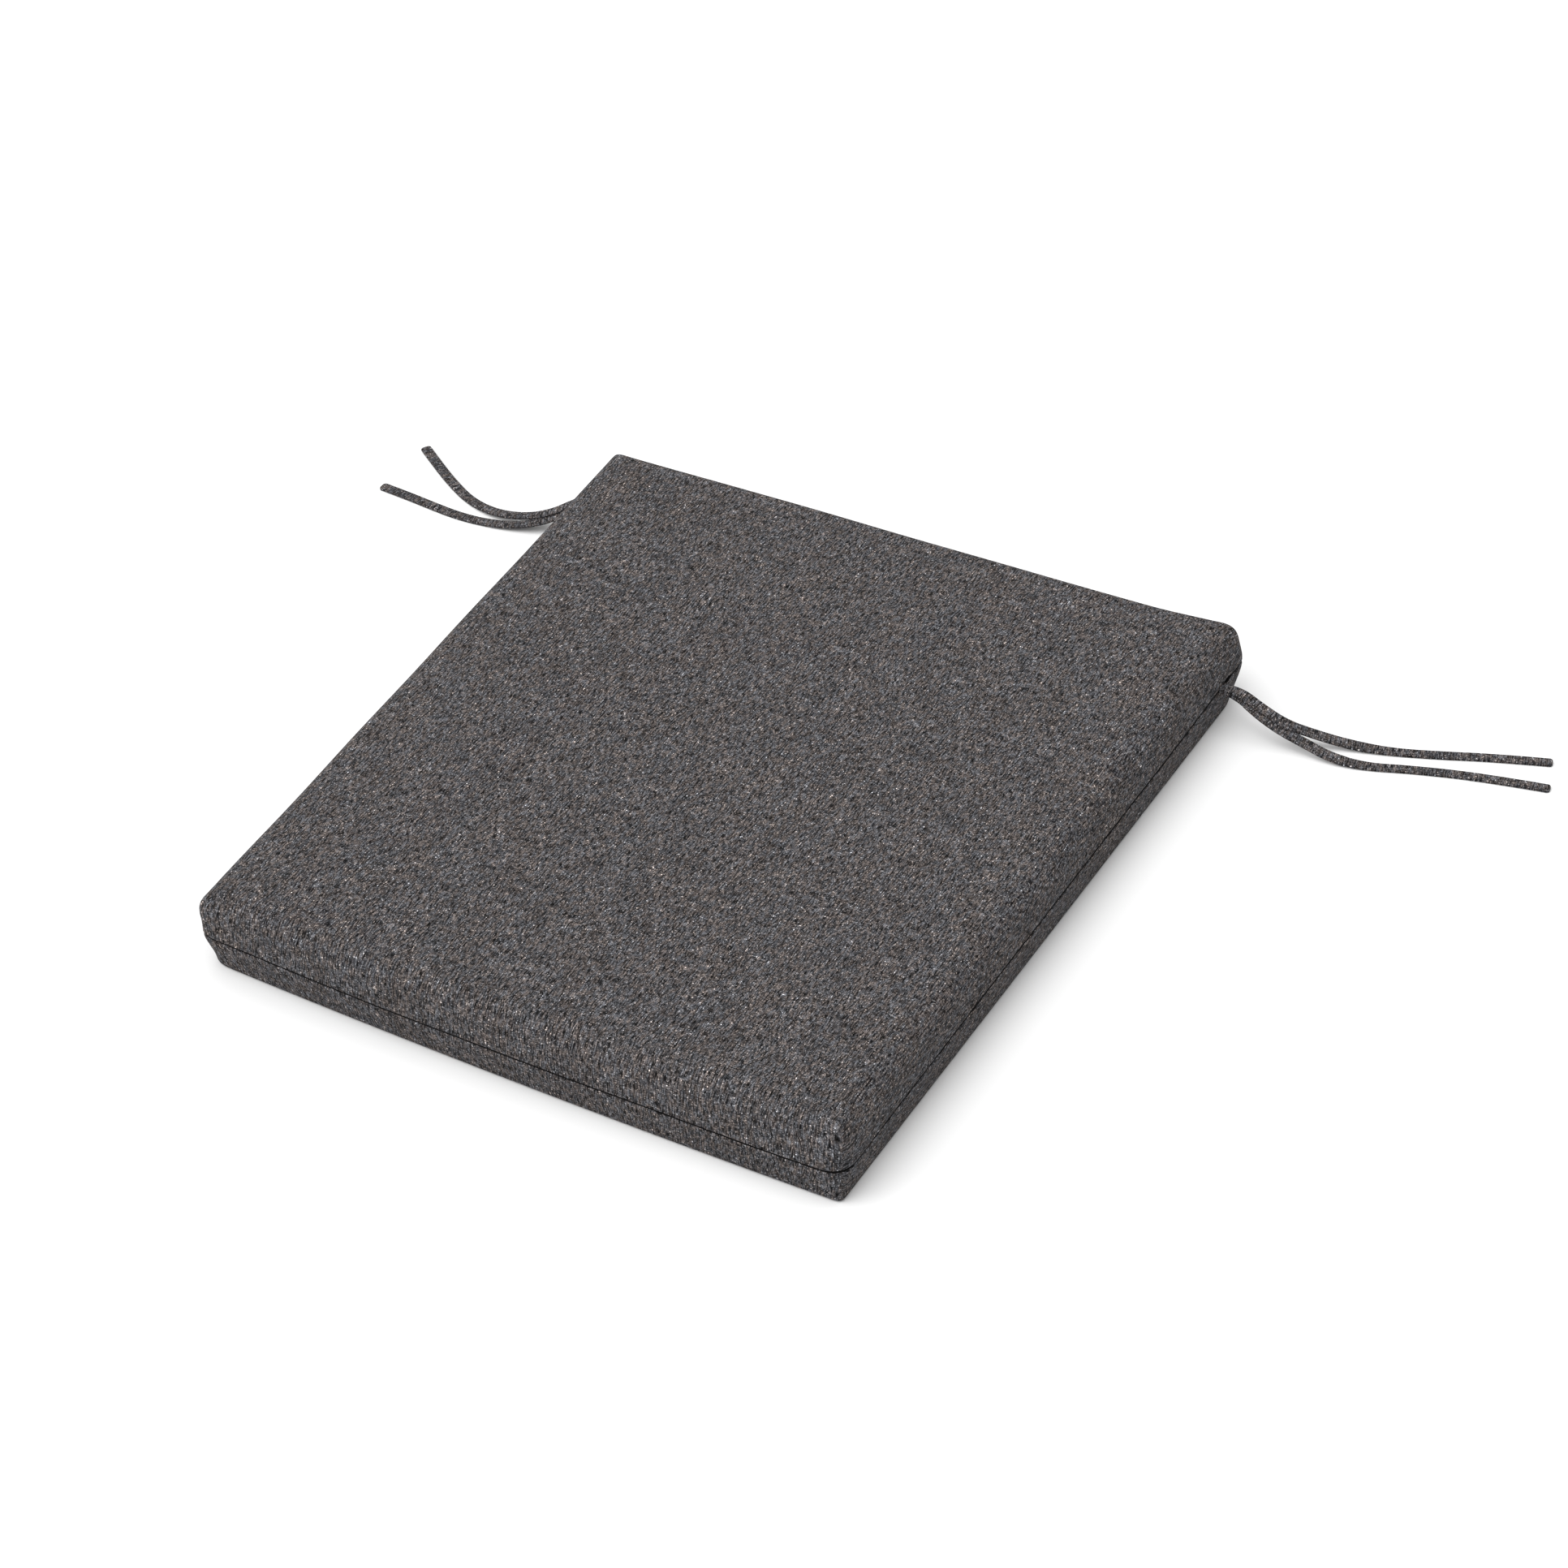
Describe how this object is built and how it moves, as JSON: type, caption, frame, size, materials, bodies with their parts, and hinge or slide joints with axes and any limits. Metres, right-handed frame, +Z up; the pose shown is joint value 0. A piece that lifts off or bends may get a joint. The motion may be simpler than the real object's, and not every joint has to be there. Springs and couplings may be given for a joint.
{
  "type": "chair seat pad",
  "caption": "Foam-filled seat pad with a sewn tweed cover, one seam round its side, a back zip and paired ties.",
  "frame": {"origin": "middle of the flat face that the pad rests on", "axes": "+Z up, +Y towards the back edge with the zip, +X to the right seen from the front"},
  "size_m": [0.8405, 0.582, 0.058],
  "materials": {
    "cover_fabric": "woven tweed, matt",
    "tie_fabric": "woven tweed, matt",
    "foam": "open-cell foam",
    "wadding": "fibre wadding",
    "thread": "spun thread",
    "zip_tape": "woven tape",
    "zip_coil": "moulded coil",
    "zip_metal": "dark lacquer",
    "label": "printed-cloth blank"
  },
  "bodies": {
    "cover": {"upper_panel": "cover_fabric", "lower_panel": "cover_fabric", "foam_core": "foam", "top_wadding": "wadding", "bottom_wadding": "wadding", "seam_thread_needle": "thread", "seam_thread_bobbin": "thread", "tie_right_rear": "tie_fabric", "tie_right_front": "tie_fabric", "tie_left_rear": "tie_fabric", "tie_left_front": "tie_fabric", "tie_anchor_right": "tie_fabric", "tie_anchor_left": "tie_fabric", "tie_bartack_right": "thread", "tie_bartack_left": "thread", "zip_tape_upper": "zip_tape", "zip_tape_lower": "zip_tape", "zip_coil_upper": "zip_coil", "zip_coil_lower": "zip_coil", "zip_stitch_upper": "thread", "zip_stitch_lower": "thread", "zip_top_stop": "zip_metal", "zip_bottom_stop": "zip_metal", "care_label": "label"},
    "slider": {"zip_slider": "zip_metal"},
    "pull_tab": {"zip_pull_tab": "zip_metal"}
  },
  "joints": [
    {"name": "zip_slide", "type": "slide", "parent": "cover", "child": "slider", "axis": [1, 0, 0], "range_m": [0, 0.287]},
    {"name": "pull_swing", "type": "hinge", "parent": "slider", "child": "pull_tab", "pos_m": [-0.1435, 0.27695, 0.028], "axis": [0, 0, 1], "range_deg": [0, 180]}
  ]
}
